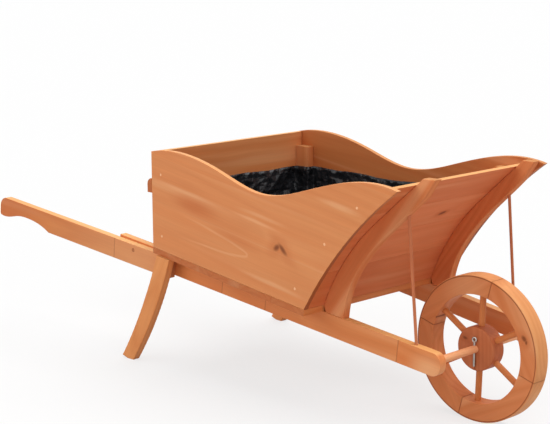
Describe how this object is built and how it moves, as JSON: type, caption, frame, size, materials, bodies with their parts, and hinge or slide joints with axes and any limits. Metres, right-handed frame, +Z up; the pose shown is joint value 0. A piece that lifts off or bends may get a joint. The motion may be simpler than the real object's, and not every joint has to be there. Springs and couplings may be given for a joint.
{
  "type": "wheelbarrow planter",
  "caption": "Decorative wooden wheelbarrow planter: a tub with wavy sides and a flared boarded front on two rails with carved handles, curved legs and a spoked wooden wheel.",
  "frame": {"origin": "on the ground, midway between the handle ends and the front of the wheel, on the middle plane", "axes": "+X from the handles towards the wheel, +Y to the left of a person at the handles, +Z up"},
  "size_m": [1.1346, 0.39, 0.3905],
  "materials": {
    "side_wood": "satin orange-brown stain",
    "front_wood": "satin orange-brown stain",
    "rear_wood": "satin orange-brown stain",
    "floor_wood": "satin orange-brown stain",
    "cleat_wood": "satin orange-brown stain",
    "rail_wood": "satin orange-brown stain",
    "handle_wood": "satin orange-brown stain",
    "leg_wood": "satin orange-brown stain",
    "rib_wood": "satin orange-brown stain",
    "dowel_wood": "satin orange-brown stain",
    "hub_wood": "satin orange-brown stain",
    "felloe_wood_a": "satin orange-brown stain",
    "felloe_wood_b": "satin orange-brown stain",
    "zinc_steel": "zinc plated",
    "liner_film": "soft black film"
  },
  "bodies": {
    "barrow": {"axle": "dowel_wood", "batten_screws": "zinc_steel", "floor_board_1": "floor_wood", "floor_board_2": "floor_wood", "floor_board_3": "floor_wood", "floor_board_4": "floor_wood", "floor_board_5": "floor_wood", "floor_nails": "zinc_steel", "front_board_1": "front_wood", "front_board_2": "front_wood", "front_board_3": "front_wood", "front_board_4": "front_wood", "front_cleat_left": "cleat_wood", "front_cleat_right": "cleat_wood", "front_nails": "zinc_steel", "handle_left": "handle_wood", "handle_right": "handle_wood", "handle_screws": "zinc_steel", "leg_left": "leg_wood", "leg_right": "leg_wood", "leg_screws": "zinc_steel", "liner": "liner_film", "rail_left": "rail_wood", "rail_right": "rail_wood", "rear_batten": "rear_wood", "rear_cleat_left": "cleat_wood", "rear_cleat_right": "cleat_wood", "rear_nails": "zinc_steel", "rear_panel": "rear_wood", "rib_left": "rib_wood", "rib_right": "rib_wood", "rib_screws": "zinc_steel", "side_nails": "zinc_steel", "side_panel_left": "side_wood", "side_panel_right": "side_wood", "split_pins": "zinc_steel", "stay_left": "dowel_wood", "stay_right": "dowel_wood"},
    "wheel": {"felloe_1": "felloe_wood_a", "felloe_2": "felloe_wood_b", "felloe_3": "felloe_wood_a", "felloe_4": "felloe_wood_b", "spoke_1": "dowel_wood", "spoke_2": "dowel_wood", "spoke_3": "dowel_wood", "spoke_4": "dowel_wood", "spoke_5": "dowel_wood", "spoke_6": "dowel_wood", "wheel_hub": "hub_wood"}
  },
  "joints": [
    {"name": "wheel_spin", "type": "hinge", "parent": "barrow", "child": "wheel", "pos_m": [0.45232, 0, 0.115], "axis": [0, 1, 0], "continuous": true}
  ]
}
